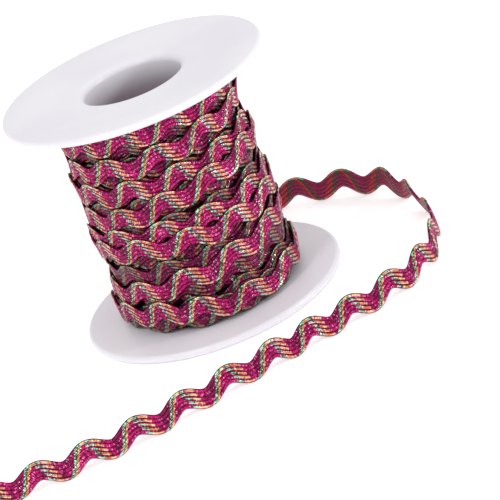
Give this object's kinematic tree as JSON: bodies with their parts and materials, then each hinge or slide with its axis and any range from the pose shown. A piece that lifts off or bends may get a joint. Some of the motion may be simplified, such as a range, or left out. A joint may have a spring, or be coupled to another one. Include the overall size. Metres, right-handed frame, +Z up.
{
  "type": "roll of ric rac",
  "caption": "Flat wavy metallic braid wound on a round flanged plastic spool with an open bore, its loose end curling round to lie beside it.",
  "frame": {"origin": "middle of the lower flange's underside, on the surface the roll stands on", "axes": "+Z up along the spool's axis; the loose end leaves the winding at the back left, goes round behind it along +X, and lies across the front (-Y)"},
  "size_m": [0.1511, 0.1232, 0.0694],
  "materials": {
    "white_plastic": "white moulded plastic, soft sheen",
    "braid": "magenta metallic yarn braid with green and gold stripes"
  },
  "bodies": {
    "root": {"spool": "white_plastic", "winding": "braid", "loose_end": "braid"}
  },
  "joints": []
}
